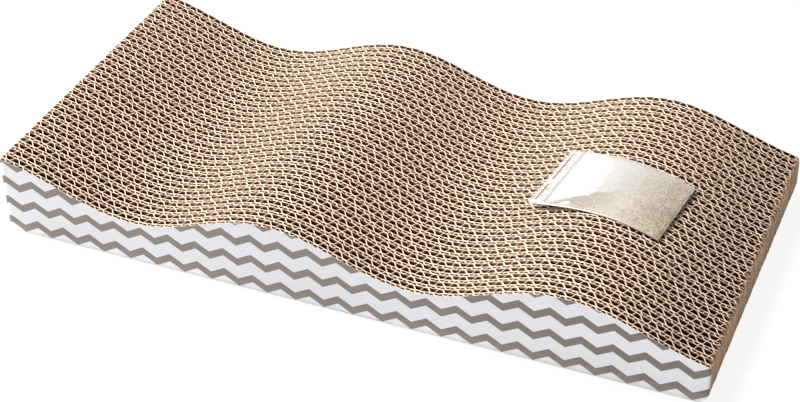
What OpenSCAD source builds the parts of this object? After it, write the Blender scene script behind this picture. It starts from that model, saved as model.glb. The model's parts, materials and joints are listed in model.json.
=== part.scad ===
// Wave-topped corrugated cardboard cat scratcher with a bag of dried catnip lying on it.
// The block is a row of die-cut double-wall boards, standing on edge and glued face to face.
// Origin: middle of the underside. X runs along the wave, Y from the printed front to the back, Z up.

/* [Block] */
// Length of each board, along the wave
block_l = 450; // [300:1:600]
// Number of boards glued face to face
board_count = 33; // [11:1:48]

/* [Wave] */
// Mean height of the top edge above the underside
wave_mean_h = 39; // [34:0.5:60]
// Rise of a crest above the mean height
wave_rise = 10.7; // [4:0.1:14]
// Distance from one crest to the next
wave_l = 182; // [120:1:300]
// Distance of the first crest from the left end
crest_inset = 0; // [-10:1:40]
// Radius of the two bottom corners
foot_round = 8; // [3:0.5:9]
// Radius of the top corner at the left end
left_rim_round = 3; // [2:0.5:8]
// Radius of the top corner at the right end
right_rim_round = 5; // [2:0.5:8]

/* [Board] */
// Thickness of each of the three flat liners of a board
liner_t = 0.4; // [0.3:0.05:0.5]
// Thickness of the fluted paper
medium_t = 0.35; // [0.25:0.05:0.45]
// Height of the layer of small flutes, nearer the front and drawn solid
small_flute_h = 1.97; // [1.6:0.01:2.8]
// Clear height of the layer of large flutes, nearer the back
large_flute_h = 3.4; // [3:0.05:5]
// Length of one large flute
large_pitch = 9; // [8.2:0.1:10]
// Length crushed solid at each end of a board by the die
crushed_end = 4; // [2:0.5:12]
// Shift of the flutes from one board to the next
flute_shift = 2; // [0:0.1:2]

/* [Bag of catnip] */
// Width of the bag across its zip
bag_w = 60; // [40:1:80]
// Length of the bag from its mouth to its fold
bag_l = 82; // [60:1:100]
// Thickness of one film wall of the bag
film_t = 0.2; // [0.15:0.05:0.3]
// Length of the open lip before the zip
lip_l = 6; // [4:0.5:9]
// Width of the press-to-close zip
zip_w = 3; // [2:0.5:4]
// Thickness of each half of the zip
zip_t = 0.6; // [0.4:0.1:0.9]
// Width of the welded seam along the sides and the fold
seam_w = 2; // [1.5:0.5:4]
// Gap from the zip to the herb
herb_gap = 3; // [2:0.5:8]
// Greatest thickness of the herb in the bag
herb_t = 5; // [3:0.5:8]
// Thickness of the herb at the edge of its pile
herb_edge_t = 0.4; // [0.2:0.1:1]
// Distance of the middle of the bag from the crest it lies on
bag_from_crest = -6; // [-20:1:20]
// Distance of the middle of the bag behind the middle of the block
bag_y = 3; // [-40:1:40]
// Turn of the bag on the block, in degrees
bag_turn = -8; // [-30:1:30]
// Gap between the bag and the crest it lies on
bag_clear = 0.3; // [0.2:0.05:0.5]

/* [Hidden] */
function board_name(i) = i == 0 ? "printed_board" : i == board_count - 1 ? "back_board" : str("board_", i < 9 ? "0" : "", i + 1);
BOARDS = [for (i = [0 : board_count - 1]) board_name(i)];

kraft = [0.8, 0.69, 0.58];
film = [0.9, 0.92, 0.93, 0.4];
herb = [0.66, 0.6, 0.45];

// A board's layers from its front: liner, small flutes, liner, large flutes, liner
large_layer_y = liner_t + small_flute_h + liner_t;
board_t = large_layer_y + large_flute_h + liner_t;
block_w = board_count * board_t;
left_x = -block_l / 2;
right_x = block_l / 2;
front_y = -block_w / 2;
top_h = wave_mean_h + wave_rise;
overrun = 1;

// Segments in one wave length and in one rounded corner
wave_steps = 16;
round_steps = 3;
step_l = wave_l / wave_steps;
wave_start = left_x + left_rim_round;
wave_end = right_x - right_rim_round;
wave_count = ceil((wave_end - wave_start) / step_l) - 1;

function wave_h(x) = wave_mean_h + wave_rise * cos(360 * (x - left_x - crest_inset) / wave_l);

// Points on a quarter turn about a centre, from an angle on
function quarter(cx, cz, r, from) =
    [for (i = [0 : round_steps]) let (a = from + 90 * i / round_steps) [cx + r * cos(a), cz + r * sin(a)]];

function wave_points() =
    [for (i = [wave_count : -1 : 1]) let (x = wave_start + i * step_l) [x, wave_h(x)]];

function side_outline() = concat(
    quarter(left_x + foot_round, foot_round, foot_round, 180),
    quarter(right_x - foot_round, foot_round, foot_round, 270),
    quarter(wave_end, wave_h(wave_end) - right_rim_round, right_rim_round, 0),
    wave_points(),
    quarter(wave_start, wave_h(wave_start) - left_rim_round, left_rim_round, 90));

// Plan of one cell between a folded flute and a liner: its base on the liner, its tip under the fold
module cell(at_x, flipped) {
    run = large_pitch / 2;
    rise = large_flute_h - medium_t;
    flank = norm([run, rise]);
    half_base = run - medium_t / 2 * (flank - run) / rise;
    depth = large_flute_h - medium_t / 2 * (1 + flank / run);
    base_y = large_layer_y + (flipped ? large_flute_h : 0);
    tip_y = base_y + (flipped ? -depth : depth);
    polygon([[at_x - half_base, base_y], [at_x + half_base, base_y], [at_x, tip_y]]);
}

// Cells open in turn to the front and to the back, whole ones only
module cells(shift) {
    half = large_pitch / 2;
    count = floor((block_l - 2 * crushed_end - 2 * abs(shift)) / half) - 1;
    for (i = [0 : count - 1]) {
        cell((i - (count - 1) / 2) * half + shift, i % 2 == 1);
    }
}

// One board, counted from the front, cut to the wave with its flutes running up and down
module board(index) {
    shift = (index % 2 == 0 ? 1 : -1) * flute_shift / 2;
    translate([0, front_y + index * board_t, 0])
        intersection() {
            linear_extrude(top_h + overrun)
                difference() {
                    translate([left_x, 0]) square([block_l, board_t]);
                    cells(shift);
                }
            translate([0, board_t, 0]) rotate([90, 0, 0]) linear_extrude(board_t) polygon(side_outline());
        }
}

module printed_board() {
    color("white") board(0);
}

module inner_board(index) {
    color(kraft) board(index);
}

module back_board() {
    color(kraft) board(board_count - 1);
}

// The bag lies over the last crest that has room for it, and bends less than the wave does
drape_share = 0.6;
bag_crest = floor((block_l - crest_inset - bag_l / 2) / wave_l);
bag_x = left_x + crest_inset + bag_crest * wave_l + bag_from_crest;
zip_start = lip_l;
zip_end = zip_start + zip_w;
herb_start = zip_end + herb_gap;
herb_end = bag_l - seam_w;
herb_half_w = bag_w / 2 - seam_w;
herb_rows = 8;
herb_columns = 6;
herb_u = [for (i = [0 : herb_rows]) herb_start + (herb_end - herb_start) * i / herb_rows];
herb_v = [for (j = [0 : herb_columns]) herb_half_w * (2 * j / herb_columns - 1)];
film_u = concat([0, lip_l / 2, zip_start, zip_end], herb_u, [bag_l]);
film_v = concat([-bag_w / 2], herb_v, [bag_w / 2]);

function bag_base(x) = top_h + bag_clear - drape_share * (top_h - wave_h(x));

// A point of the bag: u from its mouth, v across from its middle, h above its underside
function bag_point(u, v, h) =
    let (
        x = bag_x + (u - bag_l / 2) * cos(bag_turn) - v * sin(bag_turn),
        y = bag_y + (u - bag_l / 2) * sin(bag_turn) + v * cos(bag_turn)
    )
    [x, y, bag_base(x) + h];

// Height of the herb's pile, domed between its edges
function pile_h(u, v) =
    let (
        a = 2 * (u - herb_start) / (herb_end - herb_start) - 1,
        b = v / herb_half_w
    )
    herb_edge_t + (herb_t - herb_edge_t) * (1 - pow(abs(a), 3)) * (1 - pow(abs(b), 3));

// Height to which the front film is held off the back film
function held_h(u, v) =
    abs(v) > herb_half_w || u < zip_start || u > herb_end ? 0 : u <= zip_end ? 2 * zip_t : pile_h(u, v);

// A closed sheet over a grid of the bag, between two heights
module bag_layer(us, vs, low, high) {
    columns = len(vs);
    points = concat(
        [for (u = us) for (v = vs) bag_point(u, v, low(u, v))],
        [for (u = us) for (v = vs) bag_point(u, v, high(u, v))]);
    up = len(us) * columns;
    last_i = len(us) - 1;
    last_j = columns - 1;
    at = function (i, j) i * columns + j;
    faces = concat(
        [for (i = [0 : last_i - 1]) for (j = [0 : last_j - 1])
            each [[at(i, j), at(i + 1, j), at(i + 1, j + 1)], [at(i, j), at(i + 1, j + 1), at(i, j + 1)]]],
        [for (i = [0 : last_i - 1]) for (j = [0 : last_j - 1])
            each [[at(i + 1, j + 1) + up, at(i + 1, j) + up, at(i, j) + up],
                [at(i, j + 1) + up, at(i + 1, j + 1) + up, at(i, j) + up]]],
        [for (i = [0 : last_i - 1])
            each [[at(i, 0) + up, at(i + 1, 0) + up, at(i + 1, 0)], [at(i, 0) + up, at(i + 1, 0), at(i, 0)]]],
        [for (i = [0 : last_i - 1])
            each [[at(i, last_j), at(i + 1, last_j), at(i + 1, last_j) + up],
                [at(i, last_j), at(i + 1, last_j) + up, at(i, last_j) + up]]],
        [for (j = [0 : last_j - 1])
            each [[at(0, j + 1) + up, at(0, j) + up, at(0, j)], [at(0, j + 1) + up, at(0, j), at(0, j + 1)]]],
        [for (j = [0 : last_j - 1])
            each [[at(last_i, j) + up, at(last_i, j + 1) + up, at(last_i, j + 1)],
                [at(last_i, j) + up, at(last_i, j + 1), at(last_i, j)]]]);
    polyhedron(points, faces, convexity = 4);
}

module bag_back_film() {
    color(film) bag_layer(film_u, film_v, function (u, v) 0, function (u, v) film_t);
}

module bag_front_film() {
    color(film) bag_layer(film_u, film_v,
        function (u, v) film_t + held_h(u, v), function (u, v) 2 * film_t + held_h(u, v));
}

module zip_groove() {
    color(film) bag_layer([zip_start, zip_end], herb_v,
        function (u, v) film_t, function (u, v) film_t + zip_t);
}

module zip_rib() {
    color(film) bag_layer([zip_start, zip_end], herb_v,
        function (u, v) film_t + zip_t, function (u, v) film_t + 2 * zip_t);
}

module catnip() {
    color(herb) bag_layer(herb_u, herb_v, function (u, v) film_t, function (u, v) film_t + pile_h(u, v));
}

printed_board();
for (i = [1 : board_count - 2]) {
    inner_board(i);
}
back_board();
bag_back_film();
bag_front_film();
zip_groove();
zip_rib();
catnip();
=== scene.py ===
import json
import math
import random

import bpy
from bpy.props import FloatProperty, FloatVectorProperty, IntProperty, PointerProperty
from bpy.types import Operator, Panel, PropertyGroup
from mathutils import Euler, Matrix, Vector, noise


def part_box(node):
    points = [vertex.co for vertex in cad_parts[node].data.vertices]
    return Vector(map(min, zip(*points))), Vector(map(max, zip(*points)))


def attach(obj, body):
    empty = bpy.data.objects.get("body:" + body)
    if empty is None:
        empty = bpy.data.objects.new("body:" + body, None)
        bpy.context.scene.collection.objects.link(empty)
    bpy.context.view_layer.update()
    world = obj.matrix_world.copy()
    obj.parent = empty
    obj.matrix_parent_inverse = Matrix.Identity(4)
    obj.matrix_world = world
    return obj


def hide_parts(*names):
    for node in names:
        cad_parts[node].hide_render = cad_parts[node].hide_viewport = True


bl_info = {
    "name": "Cardboard Cat Scratcher",
    "version": (1, 0, 0),
    "blender": (4, 5, 0),
    "location": "3D View > Sidebar > Scratcher",
    "description": "A wave of corrugated boards with a zigzag front, and a bag of dried catnip on it",
    "category": "Add Mesh",
}

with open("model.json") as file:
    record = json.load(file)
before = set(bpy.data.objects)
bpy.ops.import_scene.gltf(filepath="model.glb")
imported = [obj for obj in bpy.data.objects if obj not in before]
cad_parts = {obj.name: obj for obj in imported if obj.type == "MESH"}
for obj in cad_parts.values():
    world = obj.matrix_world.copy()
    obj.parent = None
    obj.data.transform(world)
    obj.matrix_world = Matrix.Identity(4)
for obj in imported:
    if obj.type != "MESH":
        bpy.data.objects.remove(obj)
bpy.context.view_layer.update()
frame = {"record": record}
BOARDS = frame["record"]["behaviour"]["bodies"]["scratcher"]
BLOCK = "scratcher"
BAG = "catnip_bag"
MM = 0.001


def length(name, description, value):
    """A length property in metres, with its default given in millimetres."""
    return FloatProperty(name=name, description=description, default=value * MM, unit="LENGTH", precision=5)


def share(name, description, value, most=1):
    """A share property."""
    return FloatProperty(
        name=name, description=description, default=value, min=0, max=most, subtype="FACTOR")


def power(name, description, value):
    """A lamp's power property."""
    return FloatProperty(name=name, description=description, default=value, unit="POWER")


def colour(name, description, value):
    """A colour property."""
    return FloatVectorProperty(
        name=name, description=description, default=value, size=3, subtype="COLOR", min=0, max=1)


class ScratcherWave(PropertyGroup):
    """The side outline that every board is cut to."""

    mean_h: length("Mean height", "Mean height of the top edge", 39)
    rise: length("Rise", "Rise of a crest above the mean height", 10.7)
    wave_l: length("Wave length", "Distance from one crest to the next", 182)
    crest_inset: length("Crest inset", "Distance of the first crest from the left end", 0)
    foot_r: length("Foot radius", "Radius of the two bottom corners", 8)
    left_rim_r: length("Left rim radius", "Radius of the top corner at the left end", 3)
    right_rim_r: length("Right rim radius", "Radius of the top corner at the right end", 2.5)
    left_lift: length("Left lift", "Rise of the left end over the wave", 3.5)
    right_sag: length("Right sag", "Drop of the right end under the wave", 2.5)
    end_run: length("End run", "Length over which the ends rise and drop", 40)


class ScratcherBoard(PropertyGroup):
    """The make of one corrugated board."""

    liner_t: length("Liner", "Thickness of the front and back liners", 0.14)
    middle_liner_t: length("Middle liner", "Thickness of the liner between the flutes", 0.4)
    small_medium_t: length("Small medium", "Thickness of the small flutes' paper", 0.42)
    large_medium_t: length("Large medium", "Thickness of the large flutes' paper", 0.4)
    small_h: length("Small flute height", "Clear height of the layer of small flutes", 2.1)
    large_h: length("Large flute height", "Clear height of the layer of large flutes", 3.79)
    small_pitch: length("Small pitch", "Length of one small flute", 6)
    large_pitch: length("Large pitch", "Length of one large flute", 9)
    flute_shift: length("Flute shift", "Shift of the flutes from one board to the next", 3.2)
    flute_stray: length("Flute stray", "How far the flutes of the back boards stray from that shift", 3)
    flute_lean: length("Flute lean", "How far a large flute leans along the board", 0.55)
    crushed_l: length("Crushed length", "Length over which the die pinches the ends", 4.5)
    crushed_share: share("Crushed share", "Share of its thickness that an end loses", 0.64, 0.7)
    wobble: length("Wobble", "Sideways wander of the papers", 0.16)
    slip: length("Slip", "Wander of the flutes along a board", 0.6)
    trim: length("Trim", "How unevenly the top edges are cut", 0.22)
    uneven_l: length("Uneven length", "How much shorter than the longest a board can be", 0.5)
    thin_share: share(
        "Thin share", "Share of their thickness that the papers lose at the right end", 0.35, 0.7)
    # Inside a board the colours paint light and shade: painted light on the papers near the cut edges, more
    # of it where the wave faces the lamp, painted shade deep down, and real fuzz with painted light on it
    fuzz_l: length("Fuzz", "Depth of the pale fuzz below a cut edge", 0.2)
    daylit_l: length("Daylit depth", "Depth below a cut edge at which the papers turn dark", 2.1)
    end_l: length("Weathered end", "Length of plain kraft at the ends of a board", 3)
    wall_colour: colour("Kraft", "Colour of the outer papers", (0.47, 0.315, 0.2))
    painted_lit_inner_colour: colour("Inner", "Colour of the papers just inside a board", (0.68, 0.47, 0.315))
    lamp_side_painted_light_colour: colour("Sunny inner", "The same colour where the wave faces the lamp", (0.9, 0.71, 0.54))
    deep_painted_shade_colour: colour("Core", "Colour of the papers deep inside a board", (0.05, 0.021, 0.01))
    fuzz_and_painted_light_colour: colour("Fuzz", "Colour of the fuzz below a cut edge", (0.8, 0.57, 0.39))
    edge_colour: colour("Cut edge", "Colour of the cut edges", (0.875, 0.672, 0.512))


class ScratcherPrint(PropertyGroup):
    """The zigzag print on the front."""

    period: length("Period", "Length of one zigzag", 18.603)
    row_pitch: length("Row pitch", "Height from one stripe to the next", 15.055)
    swing: length("Swing", "Rise of a peak above the middle of its stripe", 2.661)
    band_h: length("Band", "Height of a stripe", 5.513)
    first_row_h: length("First row", "Height of the lowest stripe's middle", 5.78)
    first_peak_x: length("First peak", "Place of a peak along the front", 1.7)
    bleed: length("Bleed", "Softness of a stripe's border", 0.15)
    paper_colour: colour("Paper", "Colour of the white liner", (0.72, 0.727, 0.752))
    stripe_colour: colour("Stripe", "Colour of the stripes", (0.216, 0.189, 0.168))


class ScratcherBag(PropertyGroup):
    """The bag of catnip that lies on the third crest."""

    bag_w: length("Width", "Width across the zip", 60)
    bag_l: length("Length", "Length from the mouth to the fold", 82)
    film_t: length("Film", "Thickness of one film wall", 0.2)
    lip_l: length("Lip", "Length of the open lip before the zip", 6)
    zip_w: length("Zip width", "Width of the press-to-close zip", 3)
    zip_t: length("Zip half", "Thickness of each half of the zip", 0.6)
    seam_w: length("Seam", "Width of the welded seam", 1.3)
    herb_gap: length("Herb gap", "Gap from the zip to the herb", 1.3)
    herb_t: length("Herb", "Greatest thickness of the herb", 4.8)
    herb_edge_t: length("Herb edge", "Thickness of the herb at its edge", 0.4)
    from_crest: length("From crest", "Distance of the bag's middle from its crest", -6)
    bag_y: length("Across", "Distance of the bag's middle behind the block's middle", 3)
    turn: FloatProperty(
        name="Turn", description="Turn of the bag on the block", default=math.radians(-8), subtype="ANGLE")
    clear: length("Clearance", "Gap between the bag and its crest", 0.3)
    droop: length("Droop", "How far the free end sags", 1.5)
    skew: length("Skew", "How far the far end is drawn out on its front side", 2)
    drape_share: share("Drape", "Share of the wave's bend that the bag follows", 0.6)
    crest: IntProperty(name="Crest", description="Crests to the left of the bag's own", default=2)
    line_u: length("Line", "Distance of the coloured line from the mouth", 3.6)
    crumb_l: length("Crumb", "Greatest radius of a crumb of herb", 0.75)
    crumb_density: FloatProperty(
        name="Crumb density", description="Crumbs strewn on each square metre of the pile", default=1.1e6)
    film_colour: colour("Film", "Colour of the clear film", (0.59, 0.58, 0.565))
    hollow_painted_shade_colour: colour("Hollow film", "Colour of the film below its fold", (0.4, 0.37, 0.35))
    # The next colour is painted shade on the film in front of its fold
    seam_colour: colour("Seam film", "Colour of the film at its welded seams", (0.7, 0.61, 0.5))
    # The next colour is painted shade at the film's far end, where it curves away from the light
    far_end_painted_shade_colour: colour("Settled", "Colour of the dust on the film at its far end", (0.22, 0.175, 0.115))
    line_colour: colour("Line", "Colour of the line along the mouth", (0.14, 0.008, 0.04))
    line_glow_colour: colour("Line glow", "Colour of the film beside that line", (0.85, 0.6, 0.6))
    zip_colour: colour("Zip", "Colour of the zip's plastic", (0.29, 0.27, 0.23))
    pale_zip_colour: colour("Pale zip", "Colour of its paler clouds", (0.4, 0.38, 0.335))
    herb_colour: colour("Herb", "Colour of the pale herb", (0.5, 0.405, 0.28))
    dark_herb_colour: colour("Dark herb", "Colour of the darker crumbs", (0.15, 0.115, 0.062))
    dust_colour: colour("Dust", "Colour of the finest dust on the herb", (0.8, 0.69, 0.54))


class ScratcherStage(PropertyGroup):
    """Camera, lamps and floor."""

    eye: FloatVectorProperty(
        name="Camera", description="Place of the camera", default=(0.36983, -0.86948, 0.68964),
        subtype="TRANSLATION", unit="LENGTH", precision=5)
    aim: FloatVectorProperty(
        name="Aim", description="Turn of the camera", subtype="EULER",
        default=(math.radians(54.1316), math.radians(0.9812), math.radians(22.5486)))
    lens: FloatProperty(name="Lens", description="Focal length in millimetres", default=83.085)
    sky_level: FloatProperty(name="Sky", description="Strength of the even light", default=0.15)
    key_power: power("Key", "Power of the lamp behind", 9)
    top_power: power("Top", "Power of the lamp above", 610)
    fill_power: power("Fill", "Power of the lamp in front", 10)
    floor_colour: colour("Floor", "Colour of the floor", (0.78, 0.78, 0.78))


# Node trees written as plain sums

class Field:
    """A number that a node tree works out."""

    def __init__(self, web, socket):
        self.web = web
        self.socket = socket

    def __add__(self, other):
        return self.web.math("ADD", self, other)

    def __radd__(self, other):
        return self.web.math("ADD", other, self)

    def __sub__(self, other):
        return self.web.math("SUBTRACT", self, other)

    def __rsub__(self, other):
        return self.web.math("SUBTRACT", other, self)

    def __mul__(self, other):
        return self.web.math("MULTIPLY", self, other)

    def __rmul__(self, other):
        return self.web.math("MULTIPLY", other, self)

    def __truediv__(self, other):
        return self.web.math("DIVIDE", self, other)

    def __pow__(self, other):
        return self.web.math("POWER", self, other)


class Web:
    """A node tree being built."""

    def __init__(self, tree):
        self.tree = tree

    def feed(self, value, socket):
        """Join a field or a socket to an input, or set the input to a plain value."""
        if isinstance(value, Field):
            value = value.socket
        if isinstance(value, bpy.types.NodeSocket):
            self.tree.links.new(value, socket)
        else:
            socket.default_value = value

    def add(self, kind, values=None, **settings):
        """A new node with its settings and its inputs, which go by name or by place."""
        node = self.tree.nodes.new(kind)
        for key, value in settings.items():
            setattr(node, key, value)
        for key, value in (values or {}).items():
            self.feed(value, node.inputs[key])
        return node

    def math(self, operation, *values):
        """The result of an operation on fields and plain numbers."""
        node = self.add("ShaderNodeMath", dict(enumerate(values)), operation=operation)
        return Field(self, node.outputs[0])

    def split(self, socket):
        """The three numbers of a vector."""
        node = self.add("ShaderNodeSeparateXYZ", {0: socket})
        return [Field(self, node.outputs[axis]) for axis in range(3)]

    def vector(self, x, y, z):
        """A vector of three numbers."""
        return self.add("ShaderNodeCombineXYZ", {0: x, 1: y, 2: z}).outputs[0]

    def smooth(self, value, low, high):
        """A soft step from 0 at low to 1 at high."""
        node = self.add(
            "ShaderNodeMapRange", {"Value": value, "From Min": low, "From Max": high},
            interpolation_type="SMOOTHSTEP")
        return Field(self, node.outputs[0])

    def wander(self, place, seed, detail=1.0):
        """A number that wanders between about -1 and 1 along a line."""
        node = self.add(
            "ShaderNodeTexNoise", {"W": place + seed, "Scale": 1.0, "Detail": detail},
            noise_dimensions="1D")
        return Field(self, node.outputs["Fac"]) * 2 - 1


def geometry_web(name, inputs):
    """An empty geometry tree with its named inputs, and its output node."""
    tree = bpy.data.node_groups.new(name, "GeometryNodeTree")
    tree.interface.new_socket("Geometry", in_out="OUTPUT", socket_type="NodeSocketGeometry")
    for label, kind in inputs.items():
        tree.interface.new_socket(label, in_out="INPUT", socket_type="NodeSocket" + kind)
    web = Web(tree)
    entry = web.add("NodeGroupInput")
    given = {label: Field(web, entry.outputs[label]) for label in inputs}
    return web, given, web.add("NodeGroupOutput")


def grown(name, tree, values, base=None):
    """The plain mesh object that a geometry tree makes from the given values."""
    source = bpy.data.objects.new(name + "_source", base or bpy.data.meshes.new(name + "_source"))
    bpy.context.scene.collection.objects.link(source)
    modifier = source.modifiers.new("Nodes", "NODES")
    modifier.node_group = tree
    for item in tree.interface.items_tree:
        if item.in_out == "INPUT" and item.name in values:
            modifier[item.identifier] = values[item.name]
    depsgraph = bpy.context.evaluated_depsgraph_get()
    mesh = bpy.data.meshes.new_from_object(source.evaluated_get(depsgraph), depsgraph=depsgraph)
    mesh.name = name
    bpy.data.objects.remove(source, do_unlink=True)
    if not mesh.polygons:
        raise RuntimeError(f"{name} came out empty")
    piece = bpy.data.objects.new(name, mesh)
    bpy.context.scene.collection.objects.link(piece)
    return piece


# Corrugated boards

# Kinds of face, by which a paper gets its materials
INNER_SIDE, CUT_SIDE, FRONT_SIDE, BACK_SIDE = 0, 1, 2, 3
# A flute's flanks against a sine's, the sharpness of its tips, and their share of the paper's thickness
FLANK_STEEPNESS = 2.5
TIP_SHARPNESS = 5
TIP_SHARE = 0.6
# Share by which the paper is thinner on one flank and thicker on the other
DRAWN_SHARE = 0.3
# Share of its height that a flute fills, and how much that wanders
FULL_SHARE, UNEVEN_SHARE = 0.97, 0.06
# Keeps the arcsine, which turns a sine into a zigzag, away from its steep ends
ARCSINE_SHARE = 0.9999
# Lengths over which the flutes slip, fill out and start to lean, and the papers wander, fray and thin
SLIP_RUN, FULL_RUN, LEAN_RUN = 45 * MM, 12 * MM, 6 * MM
WOBBLE_RUN, FRAY_RUN, THIN_RUN = 16 * MM, 4 * MM, 70 * MM
SLIP_SEED, FULL_SEED, WOBBLE_SEED, WALL_SEED_STEP = 31.0, 57.0, 11.0, 3.7
# Points along one paper
LINER_COLUMNS, SMALL_COLUMNS, LARGE_COLUMNS = 260, 1200, 1000
# How closely a liner's points crowd at its ends
END_PACKING = 0.6
# Pitch of a liner, which has no flutes
FLAT_PITCH = 100.0
WELD_GAP = 0.001 * MM
# Edges that bend more than this stay crisp, and faces that look up or down more than this are level
CRISP_ANGLE = 0.7
LEVEL_SHARE = 0.3

# What every paper of a board shares
OUTLINE_INPUTS = dict.fromkeys((
    "Length", "Mean Height", "Rise", "Wave Length", "Crest Inset", "Foot Radius", "Left Rim Radius",
    "Right Rim Radius", "Left Lift", "Right Sag", "End Run", "Thin Share", "Crushed Length",
    "Crushed Share", "Board Y", "Wobble", "Slip", "Trim", "Seed"), "Float")


def wave_top(web, from_left, from_right, wave):
    """Height of the top edge at a distance from each end, before its corners are rounded."""
    swing = web.math("COSINE", (from_left - wave["Crest Inset"]) / wave["Wave Length"] * math.tau)
    near_left = web.math("MAXIMUM", 1 - from_left / wave["End Run"], 0.0)
    near_right = web.math("MAXIMUM", 1 - from_right / wave["End Run"], 0.0)
    return (wave["Mean Height"] + wave["Rise"] * swing + wave["Left Lift"] * near_left * near_left
            - wave["Right Sag"] * near_right * near_right)


def wave_values(wave):
    """The wave's own sizes, by the names of the tree's inputs."""
    return {
        "Mean Height": wave.mean_h, "Rise": wave.rise, "Wave Length": wave.wave_l,
        "Crest Inset": wave.crest_inset, "Foot Radius": wave.foot_r,
        "Left Rim Radius": wave.left_rim_r, "Right Rim Radius": wave.right_rim_r,
        "Left Lift": wave.left_lift, "Right Sag": wave.right_sag, "End Run": wave.end_run}


def paper_wall_tree():
    """One upright paper, flat or fluted, that is cut to the wave and pinched at its ends."""
    web, given, result = geometry_web("Paper wall", {
        "Columns": "Int", "End Packing": "Float", "Middle Y": "Float", "Flute Height": "Float",
        "Flute Pitch": "Float", "Flute Shift": "Float", "Flute Lean": "Float", "Thickness": "Float",
        "Front Side": "Int", "Back Side": "Int", "Own Seed": "Float", **OUTLINE_INPUTS})
    full = given["Length"]
    seed = given["Seed"] + given["Own Seed"]
    grid = web.add("GeometryNodeMeshGrid", {
        "Size X": 1.0, "Size Y": 1.0, "Vertices X": given["Columns"], "Vertices Y": 2})
    across, up, _ = web.split(web.add("GeometryNodeInputPosition").outputs[0])
    run = across + 0.5
    row = up + 0.5
    packed = run - given["End Packing"] * web.math("SINE", run * math.tau) / math.tau
    place = full * (packed - 0.5)
    inset = full / 2 - web.math("ABSOLUTE", place)

    slip = given["Slip"] * web.wander(place / SLIP_RUN, seed + SLIP_SEED)
    slipped = place + slip + given["Flute Shift"]
    turn = slipped / given["Flute Pitch"] * math.tau
    zigzag = web.math("ARCSINE", web.math("SINE", turn) * ARCSINE_SHARE)
    ramp = zigzag * (FLANK_STEEPNESS * 2 / math.pi)
    press = web.math("ABSOLUTE", ramp) ** TIP_SHARPNESS + 1
    folded = ramp / press ** (1 / TIP_SHARPNESS)
    flank = press ** (-1 - 1 / TIP_SHARPNESS)
    thinned = (1 - web.smooth(full / 2 - place, 0.0, THIN_RUN)) * given["Thin Share"]
    paper_t = given["Thickness"] * (1 - thinned)
    tip_t = paper_t * TIP_SHARE
    height = web.math("MAXIMUM", given["Flute Height"] - tip_t, 0.0)
    lean = given["Flute Lean"] * web.math("MINIMUM", inset / LEAN_RUN, 1.0)
    way = web.math("SIGN", web.math("COSINE", turn))
    rise = way * flank * (2 * FLANK_STEEPNESS) / given["Flute Pitch"]
    steepness = rise * height / (1 - rise * lean)
    x = place - folded * lean / 2
    from_left = x + full / 2
    from_right = full / 2 - x

    def rounding(radius, distance):
        """How far a rounded corner keeps back at a distance from its end."""
        short = web.math("MAXIMUM", radius - distance, 0.0)
        inside = web.math("MAXIMUM", radius * radius - short * short, 0.0)
        return radius - web.math("SQRT", inside)

    frayed = web.wander(x / FRAY_RUN, seed, 2.0) - 1
    top = (wave_top(web, from_left, from_right, given) + given["Trim"] * 0.5 * frayed
           - rounding(given["Left Rim Radius"], from_left)
           - rounding(given["Right Rim Radius"], from_right))
    foot = rounding(given["Foot Radius"], web.math("MINIMUM", from_left, from_right))
    z = foot + row * (top - foot)

    drawn = 1 - web.math("SIGN", steepness) * DRAWN_SHARE
    depth = (tip_t + (paper_t * drawn - tip_t) * flank) * web.math("SQRT", steepness * steepness + 1)
    fullness = FULL_SHARE + UNEVEN_SHARE * web.wander(x / FULL_RUN, seed + FULL_SEED)
    bent = given["Middle Y"] + folded * height * 0.5 * fullness
    end = web.math("MINIMUM", from_left, from_right)
    near = web.math("MAXIMUM", 1 - end / given["Crushed Length"], 0.0)
    pinch = 1 - web.math("SQRT", web.math("MAXIMUM", 1 - near * near, 0.0))
    y = (given["Board Y"] + bent * (1 - pinch * given["Crushed Share"])
         + given["Wobble"] * web.wander(x / WOBBLE_RUN, given["Seed"] + WOBBLE_SEED))
    deep = web.add("GeometryNodeStoreNamedAttribute", {
        "Geometry": grid.outputs["Mesh"], "Name": "depth", "Value": depth},
        data_type="FLOAT", domain="POINT")
    bent_grid = web.add("GeometryNodeSetPosition", {
        "Geometry": deep.outputs[0], "Position": web.vector(x, y - depth / 2, z)})
    front = web.add("GeometryNodeStoreNamedAttribute", {
        "Geometry": bent_grid.outputs[0], "Name": "side", "Value": given["Front Side"]},
        data_type="INT", domain="FACE")
    plain = web.add("GeometryNodeStoreNamedAttribute", {
        "Geometry": bent_grid.outputs[0], "Name": "side", "Value": given["Back Side"]},
        data_type="INT", domain="FACE")
    turned = web.add("GeometryNodeFlipFaces", {"Mesh": plain.outputs[0]})
    stored = web.add("GeometryNodeInputNamedAttribute", {"Name": "depth"}, data_type="FLOAT")
    thick = web.add("GeometryNodeExtrudeMesh", {
        "Mesh": turned.outputs[0], "Offset": web.vector(0.0, stored.outputs[0], 0.0),
        "Offset Scale": 1.0, "Individual": False}, mode="FACES")
    _, _, facing = web.split(web.add("GeometryNodeInputNormal").outputs[0])
    level = web.math("GREATER_THAN", web.math("ABSOLUTE", facing), LEVEL_SHARE)
    edged = web.add("GeometryNodeStoreNamedAttribute", {
        "Geometry": thick.outputs["Mesh"], "Selection": thick.outputs["Side"], "Name": "side",
        "Value": BACK_SIDE + (CUT_SIDE - BACK_SIDE) * level}, data_type="INT", domain="FACE")
    both = web.add("GeometryNodeJoinGeometry")
    web.feed(front.outputs[0], both.inputs[0])
    web.feed(edged.outputs[0], both.inputs[0])
    closed = web.add("GeometryNodeMergeByDistance", {"Geometry": both.outputs[0], "Distance": WELD_GAP})
    web.feed(closed.outputs[0], result.inputs[0])
    return web.tree


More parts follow.
